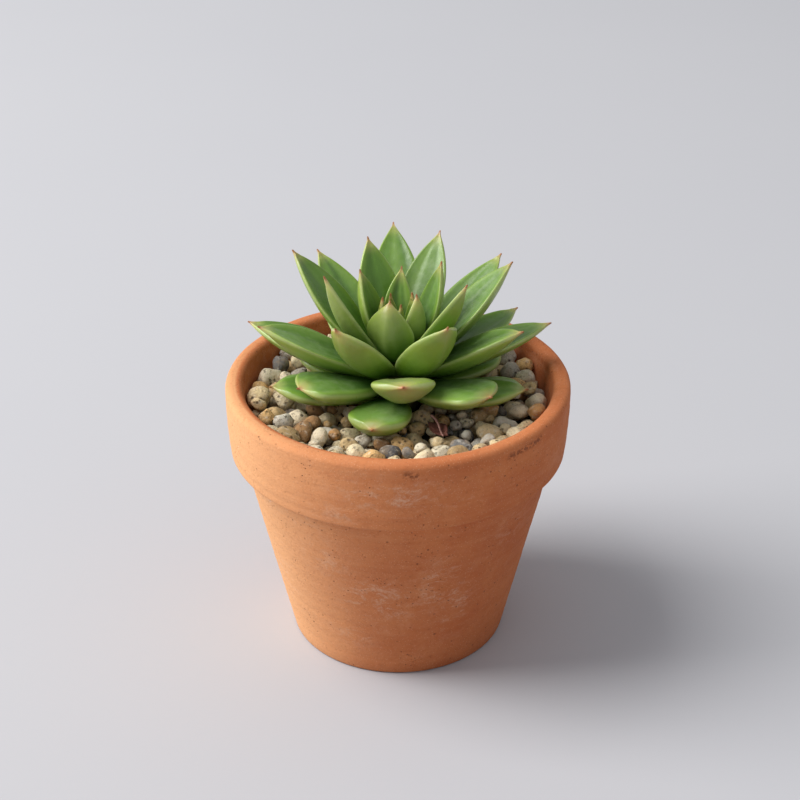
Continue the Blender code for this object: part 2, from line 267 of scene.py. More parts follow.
def terracotta_material():
    """Dry fired clay: mottled orange, turning streaks, salt bloom, sand grains, damp, pores and nicks
    darkened with painted shade, fine grit, and painted light and shade on its two sides and under the collar.
    """
    n = Nodes("terracotta_clay")
    patch, edge_wear, damp_and_painted_shade = n.channels(n.attribute("pot_mask"))
    painted_lit_side, scratch, shaded = n.channels(n.attribute("pot_wear_and_painted_light"))
    broad = n.remap(n.noise(26, 4.0, 0.6, None, 0.4), 0.3, 0.72)
    colour = n.blend(broad, linear(190, 104, 60), linear(210, 127, 77))
    small = n.remap(n.noise(190, 5.0, 0.65), 0.28, 0.75)
    colour = n.blend(n.maths("MULTIPLY", small, 0.45), colour, linear(190, 97, 50))
    turning = n.remap(n.noise(1.0, 4.0, 0.65, (14.0, 14.0, 640.0)), 0.35, 0.7)
    colour = n.blend(n.maths("MULTIPLY", turning, 0.12), colour, linear(228, 158, 108))
    # Painted light: the side towards the lamp is painted paler, and painted shade makes the far side darker,
    # most towards the foot.
    colour = n.blend(n.maths("MULTIPLY", painted_lit_side, 0.8), colour, linear(246, 188, 134))
    colour = n.blend(n.maths("MULTIPLY", shaded, 0.35), colour, linear(150, 70, 34))
    ragged = n.remap(n.noise(130, 8.0, 0.72, (1.0, 1.0, 1.9), 0.8), 0.47, 0.63)
    powder = n.remap(n.noise(1100, 4.0, 0.7), 0.38, 0.62, 0.25, 1.0)
    salt = n.maths("MULTIPLY", n.maths("MULTIPLY", patch, ragged), powder)
    colour = n.blend(n.maths("MULTIPLY", salt, 0.62), colour, linear(232, 198, 172))
    scum = n.remap(n.noise(70, 9.0, 0.75), 0.52, 0.8)
    colour = n.blend(n.maths("MULTIPLY", scum, 0.3), colour, linear(228, 168, 122))
    colour = n.blend(n.maths("MULTIPLY", edge_wear, 0.3), colour, linear(196, 124, 78))
    # Darker where damp, and painted shade in the crease under the collar.
    colour = n.blend(n.maths("MULTIPLY", damp_and_painted_shade, 0.55), colour, linear(120, 66, 42))
    grain = n.remap(n.cells(1300), 0.08, 0.28, 1.0, 0.0)
    colour = n.blend(n.maths("MULTIPLY", grain, 0.25), colour, linear(240, 200, 165))
    coarse = n.remap(n.noise(800, 5.0, 0.75), 0.50, 0.72)
    colour = n.blend(n.maths("MULTIPLY", coarse, 0.32), colour, linear(150, 78, 42))
    pore = n.remap(n.cells(330), 0.04, 0.16, 1.0, 0.0)
    fine_pore = n.remap(n.cells(780), 0.08, 0.24, 1.0, 0.0)
    where = n.remap(n.noise(60, 4.0, 0.7), 0.48, 0.60)
    clustered = n.remap(n.noise(85, 4.0, 0.7, None, 0.5), 0.52, 0.62)
    holes = n.maths("MAXIMUM", n.maths("MULTIPLY", pore, where), n.maths("MULTIPLY", fine_pore, clustered))
    nicks = n.maths("MULTIPLY", n.remap(n.cells(900), 0.4, 0.66, 1.0, 0.0), scratch)
    holes = n.maths("MAXIMUM", holes, nicks)
    # Painted shade: the pores and nicks are darkened as if shade lay in their hollows.
    colour = n.blend(n.maths("MULTIPLY", holes, 0.7), colour, linear(104, 52, 30))
    roughness = n.remap(n.noise(300, 3.0), 0.3, 0.7, 0.78, 0.95)
    grit = n.bump(n.noise(1100, 5.0, 0.7), 0.00028, 0.7)
    rings = n.bump(n.noise(1.0, 3.0, 0.6, (9.0, 9.0, 700.0)), 0.0001, 0.35, grit)
    sunk = n.bump(n.maths("SUBTRACT", 1.0, holes), 0.0003, 0.8, rings)
    normal = n.bump(n.noise(95, 3.0, 0.6), 0.0006, 0.35, sunk)
    return n.finish(colour, roughness, normal, Specular_IOR_Level=0.3)


def stone_material():
    """Porous stone: each stone's own colour, stained and bleached areas, pits darkened with painted shade and
    a rough skin.
    """
    n = Nodes("porous_stone")
    base = n.attribute("stone_paint")
    stain = n.remap(n.noise(330, 5.0, 0.7), 0.42, 0.68)
    colour = n.blend(n.maths("MULTIPLY", stain, 0.35), base, linear(198, 162, 112))
    bleached = n.remap(n.noise(450, 5.0, 0.75, (1.0, 1.2, 0.9)), 0.5, 0.7)
    colour = n.blend(n.maths("MULTIPLY", bleached, 0.55), colour, linear(244, 236, 220))
    dark = n.remap(n.noise(1250, 5.0, 0.75), 0.53, 0.66)
    colour = n.blend(n.maths("MULTIPLY", dark, 0.5), colour, linear(122, 102, 82))
    where = n.remap(n.noise(180, 3.0, 0.6), 0.42, 0.6)
    large = n.maths("MULTIPLY", n.remap(n.cells(560), 0.12, 0.36, 1.0, 0.0), where)
    small = n.remap(n.cells(1700), 0.06, 0.24, 1.0, 0.0)
    pit_shade = n.maths("MAXIMUM", large, n.maths("MULTIPLY", small, 0.6))
    # Painted shade: the pits are darkened as shade in their hollows, over their bumped relief.
    colour = n.blend(n.maths("MULTIPLY", pit_shade, 0.72), colour, linear(62, 48, 38))
    pits = n.bump(n.maths("SUBTRACT", 1.0, pit_shade), 0.0009, 0.9)
    normal = n.bump(n.noise(1000, 5.0, 0.75), 0.0009, 0.9, pits)
    return n.finish(colour, 0.92, normal, Specular_IOR_Level=0.25)


def soil_material():
    """Dark crumbs with pale flecks."""
    n = Nodes("potting_soil")
    crumbs = n.remap(n.noise(520, 6.0, 0.75), 0.3, 0.75)
    colour = n.blend(crumbs, linear(34, 25, 19), linear(84, 64, 47))
    fleck = n.remap(n.cells(900), 0.05, 0.15, 1.0, 0.0)
    colour = n.blend(n.maths("MULTIPLY", fleck, 0.5), colour, linear(150, 130, 104))
    normal = n.bump(n.noise(700, 6.0, 0.75), 0.0009, 0.9)
    return n.finish(colour, 0.97, normal)


def stem_material():
    """Green-brown bark with level scars where leaves have dropped off."""
    n = Nodes("stem_bark")
    tone = n.remap(n.noise(260, 4.0, 0.6), 0.3, 0.7)
    colour = n.blend(tone, linear(74, 88, 34), linear(112, 116, 58))
    scars = n.remap(n.noise(1.0, 3.0, 0.6, (90.0, 90.0, 700.0)), 0.5, 0.7)
    colour = n.blend(n.maths("MULTIPLY", scars, 0.6), colour, linear(96, 70, 44))
    normal = n.bump(n.noise(1.0, 4.0, 0.6, (120.0, 120.0, 700.0)), 0.0005, 0.7)
    return n.finish(colour, 0.75, normal)


def dried_material():
    """Shrivelled red-brown skin with paler veins."""
    n = Nodes("dried_leaf_skin")
    tone = n.remap(n.noise(500, 5.0, 0.7), 0.3, 0.7, 0.0, 0.6)
    colour = n.blend(tone, n.attribute("dry_paint"), linear(74, 36, 28))
    veins = n.remap(n.noise(1.0, 3.0, 0.6, (700.0, 700.0, 200.0)), 0.5, 0.72)
    colour = n.blend(n.maths("MULTIPLY", veins, 0.5), colour, linear(172, 118, 98))
    normal = n.bump(n.noise(900, 5.0, 0.7), 0.0004, 0.8)
    return n.finish(colour, 0.72, normal)


def floor_material():
    """Plain matt paper."""
    n = Nodes("paper_sweep")
    tone = n.remap(n.noise(3.0, 3.0), 0.3, 0.7)
    colour = n.blend(n.maths("MULTIPLY", tone, 0.3), linear(190, 190, 194), linear(186, 186, 191))
    normal = n.bump(n.noise(900, 2.0), 0.00004, 0.2)
    return n.finish(colour, 0.9, normal, Specular_IOR_Level=0.2)


# ---------------------------------------------------------------- leaves
# The same kinds and rows as the CAD leaves, in millimetres and degrees.
KEYS = ("half_width", "thickness", "curl", "widest", "channel", "blunt", "point", "base_width", "full_end",
        "belly", "top_share", "edge", "dome")
LEAF_KINDS = {
    "lower": (9.2, 6.0, 10, 0.66, 0.02, 3.0, 0.15, 0.34, 3.2, 2.0, 0.20, 1.15, 0.9),
    "outer": (8.4, 5.6, 13, 0.58, 0.15, 1.9, 0.5, 0.34, 2.4, 1.55, 0.35, 0.75, 0.2),
    "upper": (8.2, 5.2, 22, 0.56, 0.17, 1.8, 0.5, 0.34, 2.4, 1.55, 0.35, 0.65, 0.0),
    "middle": (6.2, 4.4, 30, 0.50, 0.18, 1.8, 0.5, 0.36, 2.4, 1.55, 0.35, 0.6, 0.0),
    "heart": (4.0, 3.0, 55, 0.45, 0.22, 1.8, 0.5, 0.40, 2.4, 1.55, 0.35, 0.5, 0.0),
}
REAR_LOW = dict(half_width=7.2, thickness=5.0)
FRONT_CUP = dict(half_width=9.0, thickness=6.4, curl=34, blunt=3.0, point=0.15, base_width=0.45, belly=2.2)
BUD = dict(half_width=7.9, thickness=4.4, curl=78, widest=0.52, base_width=0.45)
# Azimuth, tip radius, tip height, base height, what differs, then how pale the underside is, how blushed the
# end is and how waxy the upper face is.
LEAVES = {
    "lower": [
        (256.5, 34.4, 90.0, 84.8, dict(half_width=9.5, thickness=6.8, full_end=4.5), 0.2, 0.5, 0.9),
        (191, 41.3, 91.2, 84.2, dict(half_width=8.6, thickness=5.2, blunt=2.3), 0.1, 0.1, 0.2),
        (347, 42, 91.2, 84.2, dict(half_width=8.6, thickness=5.2, blunt=2.3), 0.0, 0.2, 0.1),
        (146, 40, 89.5, 84.2, REAR_LOW, 0.3, 0.2, 0.3),
        (106, 40, 89.5, 84.2, REAR_LOW, 0.1, 0.3, 0.4),
        (68, 40, 89.5, 84.2, REAR_LOW, 0.5, 0.2, 0.3),
        (30, 40, 89.5, 84.2, REAR_LOW, 0.2, 0.2, 0.4),
        (213, 37, 97.2, 88.6, dict(thickness=6.2, blunt=5.0, full_end=4.0), 0.2, 0.5, 0.8),
        (317, 39, 97.7, 88.0, dict(thickness=6.4, blunt=5.0, full_end=4.0), 0.3, 0.6, 0.9),
        (273, 30, 103.0, 89.2,
         dict(half_width=9.9, thickness=7.1, curl=26, channel=0.0, full_end=3.0, top_share=0.38),
         1.0, 1.0, 0.5),
    ],
    "outer": [
        (39.5, 51.6, 99.0, 87.4, dict(half_width=7.4, thickness=4.6), 0.0, 0.3, 0.3),
        (82, 46, 100.0, 88.4, dict(half_width=7.8), 0.3, 0.2, 0.4),
        (121, 46, 100.0, 87.6, dict(half_width=7.8), 0.2, 0.3, 0.4),
        (163.5, 50.5, 103.0, 88.4, {}, 0.2, 0.3, 0.3),
        (13, 50.4, 104.0, 89.5, dict(half_width=7.3, thickness=5.2), 0.1, 0.5, 0.6),
        (189.5, 44, 112.0, 90.5, dict(thickness=6.2), 0.4, 0.4, 0.9),
        (341.5, 40.5, 113.0, 90.9, dict(half_width=7.9, thickness=5.9), 0.2, 0.5, 0.9),
    ],
    "upper": [
        (47, 50, 117.0, 91.4, dict(half_width=7.5), 0.2, 0.3, 1.0),
        (126, 45.5, 118.4, 90.2, dict(half_width=7.5), 0.2, 0.3, 0.3),
        (92, 46.4, 124.0, 92.0, dict(half_width=8.0), 0.2, 0.3, 0.5),
        (156.2, 36.5, 128.0, 92.4, {}, 0.4, 0.3, 0.1),
        (14, 37, 126.5, 92.9, dict(half_width=8.0), 0.4, 0.3, 1.0),
        (64, 31, 129.0, 93.8, dict(half_width=7.3), 0.3, 0.3, 0.9),
        (113, 25, 129.0, 94.6, dict(half_width=6.7, curl=26), 0.2, 0.3, 0.0),
        (226, 27.4, 117.5, 93.0, FRONT_CUP, 0.25, 0.9, 0.5),
        (305.5, 26, 118.8, 93.1, FRONT_CUP, 0.0, 0.5, 0.5),
    ],
    "middle": [
        (200, 24, 129.5, 95.2, dict(half_width=5.7, curl=34), 0.8, 0.5, 0.5),
        (332, 23.8, 128.0, 96.2, dict(half_width=5.8, thickness=4.8), 0.0, 0.5, 0.3),
        (28, 15.5, 127.5, 95.4, dict(half_width=5.6, curl=38), 0.4, 0.3, 0.7),
        (159, 12.8, 126.0, 96.2, dict(half_width=6.0, curl=36), 0.3, 0.3, 0.1),
        (85, 13.6, 123.0, 97.0, dict(half_width=4.8, curl=26), 0.2, 0.2, 0.1),
    ],
    "heart": [
        (248.5, 6.6, 120.4, 96.6, BUD, 0.45, 0.4, 0.3),
        (334, 6.4, 121.0, 98.0, dict(half_width=5.3, thickness=4.7), 0.5, 0.5, 0.3),
        (174, 4.8, 118.4, 98.4, dict(half_width=3.2, thickness=2.4), 0.5, 0.6, 0.3),
        (44, 6.2, 118.3, 98.6, dict(half_width=2.5, thickness=2.0), 0.5, 0.6, 0.3),
        (112, 6.4, 117.2, 99.2, dict(half_width=2.4, thickness=2.0), 0.5, 0.6, 0.3),
        (313, 1.5, 116.6, 100.6,
         dict(half_width=2.0, thickness=2.0, curl=20, base_radius=0.5), 0.5, 0.3, 0.3),
    ],
}
STEM_PROFILE = [
    (0.0, 100.0), (0.9, 99.5), (2.2, 98.0), (3.8, 95.5), (5.0, 92.0), (5.9, 88.0), (6.2, 84.0),
    (6.3, 78.0), (5.6, 70.0), (4.4, 60.0), (2.8, 50.0), (1.4, 43.5), (0.0, 41.0),
]
PLANT_TOP = 129.5
STATIONS = 46
AROUND = 48
BASE_SUNK = 0.8
THICKEST = 0.45
# The fine point that ends a leaf. The leaf's body ends a little short of it, by more where the leaf is blunt.
NEEDLE = dict(round_end=0.3, radius=0.24, widening=0.16, length=2.4)
BLUNT_FROM = 2.2
# Lengthwise ribs: how many waves across the leaf, and their height.
RIBS = ((5.0, 0.13), (9.0, 0.09), (16.0, 0.05))


def stem_radius(height):
    """Radius of the stem at a height."""
    radii, heights = zip(*reversed(STEM_PROFILE))
    return float(np.interp(height, heights, radii))


def grown_leaf(kind, row, sunk):
    """A leaf's sizes: its kind's, then its ends, sunk into the stem by a length, then what differs."""
    _, tip_radius, tip_z, base_z, changes, *_ = row
    leaf = dict(zip(KEYS, LEAF_KINDS[kind]), tip_radius=tip_radius, tip_z=tip_z, base_z=base_z)
    leaf["base_radius"] = max(0.4, stem_radius(base_z) - sunk)
    leaf.update(changes)
    return leaf


def width_share(along, leaf):
    """Half width along the leaf, as a share of its widest."""
    widest = leaf["widest"]
    swell = np.sin(0.5 * np.pi * np.clip(along / widest, 0, 1)) ** 1.1
    end = np.clip((along - widest) / (1 - widest), 0, 1)
    fall = (1 - end ** leaf["blunt"]) * (1 - leaf["point"] * end ** 9)
    return np.where(along < widest, leaf["base_width"] + (1 - leaf["base_width"]) * swell, fall)


def thickness_share(along, leaf):
    """Thickness along the leaf, as a share of its thickest."""
    rise = 0.3 + 0.7 * np.sin(0.5 * np.pi * np.clip(along / THICKEST, 0, 1))
    fall = 1 - np.clip((along - THICKEST) / (1 - THICKEST), 0, 1) ** leaf["full_end"]
    return np.where(along < THICKEST, rise, fall)


def leaf_surface(leaf, azimuth, seed):
    """Points of a leaf, with where each lies: along, across, on the upper face, from margin and from tip."""
    rng = np.random.default_rng(seed)
    rise = leaf["tip_z"] - leaf["base_z"]
    run = leaf["tip_radius"] - leaf["base_radius"]
    half = math.radians(leaf["curl"]) / 2
    bend = math.hypot(run, rise) / (2 * math.sin(half))
    lift = math.atan2(rise, run)
    length = bend * 2 * half
    along = 1 - (1 - np.linspace(0, 1, STATIONS)) ** 1.8
    from_end = (1 - along) * length
    point_free = 1.0 if leaf["blunt"] > BLUNT_FROM else 0.25
    body = np.clip(along * length / (length - point_free), 0, 1)
    past_round = from_end - NEEDLE["round_end"]
    rounded = np.sqrt(np.clip(1 - (1 - from_end / NEEDLE["round_end"]) ** 2, 0, 1))
    shaft = (NEEDLE["radius"] + NEEDLE["widening"] * past_round) * (from_end < NEEDLE["length"])
    needle = np.where(from_end < NEEDLE["round_end"], NEEDLE["radius"] * rounded, shaft)
    half_width = np.maximum(leaf["half_width"] * width_share(body, leaf), needle)
    thickness = np.maximum(leaf["thickness"] * thickness_share(body, leaf), 2 * needle)
    half_width[-1] = 0.02
    thickness[-1] = 0.04
    heading = lift - half + 2 * half * along
    start = lift - half
    radius = leaf["base_radius"] + bend * (np.sin(heading) - np.sin(start))
    height = leaf["base_z"] + bend * (np.cos(start) - np.cos(heading))
    sway = rng.uniform(-0.5, 0.5) * np.sin(np.pi * along)
    sway = sway + rng.uniform(-0.25, 0.25) * np.sin(2 * np.pi * along)
    angle = np.arange(AROUND) / AROUND * math.tau
    across = np.cos(angle)
    upper = np.sin(angle) >= -1e-9
    phases = rng.uniform(0, math.tau, len(RIBS))
    ribs = sum(tall * np.sin(waves * across + phase) for (waves, tall), phase in zip(RIBS, phases))
    ribs = ribs * (1 - across ** 4)
    points, places = [], []
    for i in range(STATIONS):
        edge = min(leaf["edge"], 0.4 * thickness[i])
        full = smooth(half_width[i], 1.5, 4.0)
        rim = edge * np.sqrt(np.clip(1 - across ** 10, 0, 1))
        middle = leaf["channel"] * half_width[i] * across ** 2 + leaf["top_share"] * thickness[i]
        margin = (1 - np.abs(across)) * half_width[i]
        raised = 0.08 * full * np.exp(-((margin - 0.5) / 0.4) ** 2)
        dome = leaf["dome"] * full * thickness[i] / leaf["thickness"] * (1 - across ** 2)
        belly = np.maximum(thickness[i] - 2 * edge, 0) * (1 - np.abs(across) ** leaf["belly"])
        folds = full * smooth(along[i], 0.98, 0.75) * ribs
        up = np.where(upper, middle + rim + raised + dome + folds, middle - rim - belly + 0.5 * folds)
        x = radius[i] - up * math.sin(heading[i])
        z = height[i] + up * math.cos(heading[i])
        points.append(np.stack([x, across * half_width[i] + sway[i], z], -1))
        places.append(np.stack([np.full(AROUND, along[i]), across, upper * 1.0, margin], -1))
    points = np.concatenate(points)
    places = np.concatenate(places)
    from_tip = np.linalg.norm(points - points[-AROUND:].mean(0), axis=1)
    dents = 0.22 * wave_noise(points, seed + 50, 0.26, 2) * smooth(from_tip, 1.5, 7.0)
    points[:, 2] += dents * smooth(places[:, 3], 0.2, 2.2)
    points = spin(points, azimuth)
    points[:, 2] = np.minimum(points[:, 2], PLANT_TOP)
    return points, np.column_stack([places, from_tip])


def leaf_colours(points, places, looks, seed):
    """Paint and masks: deep green, darkened at the base with painted shade, lighter at the edges and below,
    pale margin, bloom and a brown point.
    """
    along, across, upper, margin, from_tip = places.T
    pale, blush, waxy = looks
    rng = np.random.default_rng(seed + 7)
    shift = rng.uniform(-0.07, 0.07)
    drift = wave_noise(points, seed + 11, 0.13, 2)
    strands = wave_noise(np.stack([across * 6, along * 1.5, upper * 5], -1), seed + 13, 1.0, 3)
    # Darker towards the base: the leaf's deeper green, with painted shade where the leaves crowd together.
    top = mix(linear(30, 76, 10), linear(98, 138, 48), smooth(along, 0.15, 0.85))
    top = mix(top, linear(112, 150, 56), 0.35 * smooth(drift, -0.2, 1.0))
    top = mix(top, linear(136, 168, 58), 0.55 * smooth(margin, 2.6, 0.4))
    top = mix(top, linear(46, 84, 16), 0.45 * smooth(strands, 0.0, 1.0))
    top = mix(top, linear(152, 182, 92), 0.35 * smooth(-strands, 0.1, 1.0) * smooth(along, 0.2, 0.6))
    under = mix(linear(62, 108, 12), linear(126, 160, 48), smooth(along, 0.15, 0.75))
    under = mix(under, linear(184, 190, 118), (0.08 + 0.62 * pale) * smooth(along, 0.2, 0.7))
    keel = np.exp(-(np.abs(across) * 9) ** 2) * smooth(along, 0.2, 0.5)
    under = mix(under, linear(186, 200, 128), 0.3 * keel)
    under = mix(under, linear(84, 112, 26), 0.35 * smooth(drift, 0.0, 1.1))
    under = mix(under, linear(156, 182, 72), 0.5 * smooth(margin, 2.4, 0.6))
    under = mix(under, linear(92, 126, 30), 0.3 * smooth(strands, 0.0, 1.0))
    under = mix(under, linear(104, 160, 10), 0.35 * smooth(along, 0.6, 0.1))
    colour = mix(under, top, upper * (1 - 0.8 * smooth(pale, 0.8, 1.0)))
    line = np.exp(-(margin / 0.28) ** 2) * smooth(along, 0.05, 0.3)
    colour = mix(colour, linear(204, 212, 146), 0.5 * line)
    colour = mix(colour, linear(204, 190, 122), 0.5 * smooth(from_tip, 7.0, 1.5))
    colour = mix(colour, linear(204, 140, 112), (0.4 + 0.4 * blush) * smooth(from_tip, 2.8, 1.0))
    colour = mix(colour, linear(168, 88, 66), 0.85 * smooth(from_tip, 1.5, 0.6))
    colour = mix(colour, linear(118, 58, 42), 0.6 * smooth(from_tip, 0.7, 0.2))
    colour = colour * (1 + shift)
    band = np.exp(-((across - rng.uniform(-0.4, 0.4)) * 1.7) ** 2)
    bloom = np.where(upper > 0.5, waxy * (0.35 + 0.65 * band) * smooth(along, 0.15, 0.55), 0.06 + 0.34 * pale)
    bloom *= smooth(margin, 0.3, 1.6) * smooth(from_tip, 1.5, 6.0) * (0.75 + 0.25 * drift)
    rosy = blush * np.where(upper > 0.5, 0.06, 0.26) * smooth(from_tip, 16, 3)
    reddish = 0.35 * blush * smooth(from_tip, 4.5, 1.0) + rosy * (0.6 + 0.4 * drift)
    return np.clip(colour, 0, 1), np.clip(np.stack([bloom, reddish], -1), 0, 1)


def build_leaves(material):
    faces = capped_faces(STATIONS, AROUND)
    seed = 0
    for kind, rows in LEAVES.items():
        for number, row in enumerate(rows, start=1):
            seed += 1
            points, places = leaf_surface(grown_leaf(kind, row, BASE_SUNK), row[0], seed)
            name = f"leaf_{kind}_{number}"
            piece = make_piece("skin_" + name, points, faces, material, (name,))
            colours, mask = leaf_colours(points, places, row[-3:], seed)
            paint(piece, "leaf_paint", colours)
            paint(piece, "leaf_mask", mask)


# ---------------------------------------------------------------- pot
POT_HEIGHT = 91.0
COLLAR_Z = 67.2
POT_FLOOR = 7.0
RIM_RADIUS = 55.0
LIP_ROUND = 2.2
LIP_Z = 88.6
DRAIN_RADIUS = 8.0
POT_AROUND = 300
# The inner wall: heights, then the radius at each.
INNER = ([POT_FLOOR, COLLAR_Z, POT_HEIGHT], [29.6, 45.4, 49.2])
# Firm turning marks: height, depth, half width.
TURNING_MARKS = [(86.6, 0.16, 0.35), (85.2, 0.10, 0.3), (70.3, 0.10, 0.4), (60.5, 0.08, 0.5), (21, 0.10, 0.5)]
# Salt patches on the clay: azimuth, height, half width in degrees, half height, strength.
PATCHES = [
    (268, 80, 15, 5.5, 0.9), (250, 72, 12, 3.5, 0.5), (286, 76, 9, 3, 0.45), (222, 63, 20, 3.5, 0.75),
    (262, 34, 15, 8, 0.95), (250, 18, 14, 6, 0.6), (288, 40, 11, 9, 0.8), (296, 30, 8, 12, 0.55),
    (240, 48, 10, 8, 0.5), (205, 30, 14, 10, 0.6), (318, 55, 9, 10, 0.4), (20, 35, 18, 12, 0.8),
    (60, 60, 16, 4, 0.6), (95, 25, 20, 12, 0.8), (130, 78, 18, 6, 0.7), (150, 40, 16, 14, 0.6),
    (345, 76, 12, 5, 0.5),
]
# Scratches where the clay was nicked: start azimuth, height, how far round and how far up each goes.
SCRATCHES = [(307, 87.2, 15, 0.8), (272, 87.5, 5, -0.6), (140, 75, 9, 2), (60, 40, 8, -3)]
# Painted light and painted shade: the clay is painted paler on the side towards the lamp and darker on the
# side away from it; azimuth and half width in degrees.
PAINTED_LIT_SIDE = (200, 46)
SHADED = (300, 40)


def inner_radius(height):
    """Radius of the pot's inner wall."""
    return np.interp(height, *INNER)


def degrees_from(azimuth, centre):
    """Turn from a centre to each azimuth, from -180 to 180."""
    return (azimuth - centre + 180) % 360 - 180


def arc(centre, radius, start, end, count):
    """Points on an arc between two angles in degrees."""
    angles = np.radians(np.linspace(start, end, count))
    return [(centre[0] + radius * math.cos(a), centre[1] + radius * math.sin(a)) for a in angles]


def resample(profile, step):
    """A closed profile with points at about one spacing, keeping its corners."""
    out = []
    for (r0, z0), (r1, z1) in zip(profile, profile[1:] + profile[:1]):
        count = max(1, round(math.hypot(r1 - r0, z1 - z0) / step))
        out += [(r0 + (r1 - r0) * k / count, z0 + (z1 - z0) * k / count) for k in range(count)]
    return out


def pot_profile():
    """The pot's section: over the lip, down the outside, through the drainage hole and up the inner wall."""
    profile = arc((52.6, LIP_Z), LIP_ROUND, 90, 0, 9)
    profile += [(54.8, 84.0), (54.7, 79.0), (54.3, 72.0)]
    profile += arc((52.9, 68.2), 1.0, 0, -90, 6)
    profile += arc((51.25, 66.15), 1.0, 92, 176, 5)
    profile += arc((34.4, 1.2), 1.2, -10, -90, 5)
    profile += [(8.6, 0.0), (8.2, 0.15), (DRAIN_RADIUS, 0.6), (DRAIN_RADIUS, POT_FLOOR)]
    profile += [(27.6, POT_FLOOR), (29.0, 7.6), (29.7, 9.0), (45.4, COLLAR_Z)]
    profile += arc((51.4, LIP_Z), LIP_ROUND, 180, 100, 8)
    return profile


def pot_surface():
    """The pot's points, ring by ring, how many rings they make, and which of them lie on its outside."""
    profile = np.array(resample(pot_profile(), 0.75))
    angle = np.arange(POT_AROUND) / POT_AROUND * math.tau
    radius, height = profile[:, 0], profile[:, 1]
    rows = len(profile)
    outer = (radius > inner_radius(height) + 2.0) & (height > 0.5)
    # Shallow rings all over, then the firm marks.
    rings = 0.02 * np.sin(height * 3.1 + 0.7) + 0.015 * np.sin(height * 5.3) + 0.03 * np.sin(height * 1.3 + 2)
    for z, depth, wide in TURNING_MARKS:
        rings -= depth * np.exp(-((height - z) / wide) ** 2)
    points = np.zeros((rows, POT_AROUND, 3))
    r = radius[:, None] + np.where(outer, rings, 0.3 * rings)[:, None]
    points[..., 0] = r * np.cos(angle)
    points[..., 1] = r * np.sin(angle)
    points[..., 2] = height[:, None]
    flat = points.reshape(-1, 3)
    turns = np.tile(angle, rows)
    out = np.stack([np.cos(turns), np.sin(turns), np.zeros(len(turns))], -1)
    resting = smooth(flat[:, 2], 0.3, 3.0)
    lumps = 0.16 * wave_noise(flat, 21, 0.045, 3) + 0.05 * wave_noise(flat, 22, 0.5, 2)
    flat = flat + out * (lumps * resting)[:, None]
    flat[:, 2] += 0.18 * wave_noise(flat, 23, 0.05, 2) * smooth(flat[:, 2], 80, 91)
    flat[:, 2] = np.minimum(flat[:, 2], POT_HEIGHT)
    reach = np.hypot(flat[:, 0], flat[:, 1])
    flat[:, :2] *= np.minimum(1.0, RIM_RADIUS / reach)[:, None]
    return flat, rows, np.repeat(outer, POT_AROUND)


def pot_wear_and_painted_light(points, outward):
    """Masks: salt, worn edges, and damp with painted shade in the crease under the collar, then painted light
    on the lamp's side, scratches and painted shade on the far side.
    """
    height = points[:, 2]
    azimuth = np.degrees(np.arctan2(points[:, 1], points[:, 0])) % 360
    patch = np.zeros(len(points))
    for centre, z, wide, tall, strength in PATCHES:
        away = degrees_from(azimuth, centre)
        patch = np.maximum(patch, strength * np.exp(-(away / wide) ** 2 - ((height - z) / tall) ** 2))
    patch = np.where(outward, patch, 0.25)
    edge = np.exp(-((height - 90.6) / 1.3) ** 2) + 0.6 * np.exp(-((height - 67.8) / 0.8) ** 2) * outward
    damp_and_painted_shade = np.where(outward, 0.25 * smooth(height, 5, 0), smooth(height, 88, 80) * 0.45)
    # Painted shade: a dark line in the crease under the collar, joined to the damp mask.
    collar_crease_shade = np.exp(-((height - 66.7) / 0.7) ** 2) * outward
    damp_and_painted_shade = np.maximum(damp_and_painted_shade, 0.7 * collar_crease_shade)
    scratch = np.zeros(len(points))
    for start, z, long, rising in SCRATCHES:
        along = (azimuth - start) / long
        height_off = height - z - rising * along
        scratch = np.maximum(scratch, (along > 0) * (along < 1) * np.exp(-(height_off / 0.9) ** 2) * outward)
    # Painted light on the side towards the lamp, and painted shade on the far side, darker lower down.
    painted_lit_side = np.exp(-(degrees_from(azimuth, PAINTED_LIT_SIDE[0]) / PAINTED_LIT_SIDE[1]) ** 2) * outward
    shaded = np.exp(-(degrees_from(azimuth, SHADED[0]) / SHADED[1]) ** 2) * outward * smooth(height, 88, 40)
    masks = (patch, edge, damp_and_painted_shade), (painted_lit_side, scratch, shaded)
    return [np.clip(np.stack(three, -1), 0, 1) for three in masks]


def build_pot(material):
    points, rows, outward = pot_surface()
    faces = [tuple(reversed(face)) for face in ring_faces(rows, POT_AROUND)]
    last = (rows - 1) * POT_AROUND
    for step in range(POT_AROUND):
        following = (step + 1) % POT_AROUND
        faces.append((step, following, last + following, last + step))
    pot = make_piece("pot_clay", points, faces, material, ("pot",))
    mask, wear_and_painted_light = pot_wear_and_painted_light(points, outward)
    paint(pot, "pot_mask", mask)
    paint(pot, "pot_wear_and_painted_light", wear_and_painted_light)


# ---------------------------------------------------------------- soil, stem, dried leaf
SOIL_TOP = 76.2
SOIL_FLOOR = 7.3
DRIED_LEAF = (2.8, 1.0, 35, 0.45, 0.35, 1.7, 0.4, 0.3, 2.0, 1.3, 0.35, 0.3, 0.0)
DRIED_PLACE = (9.5, -19.0, 84.8)
DRIED_TURN = 301


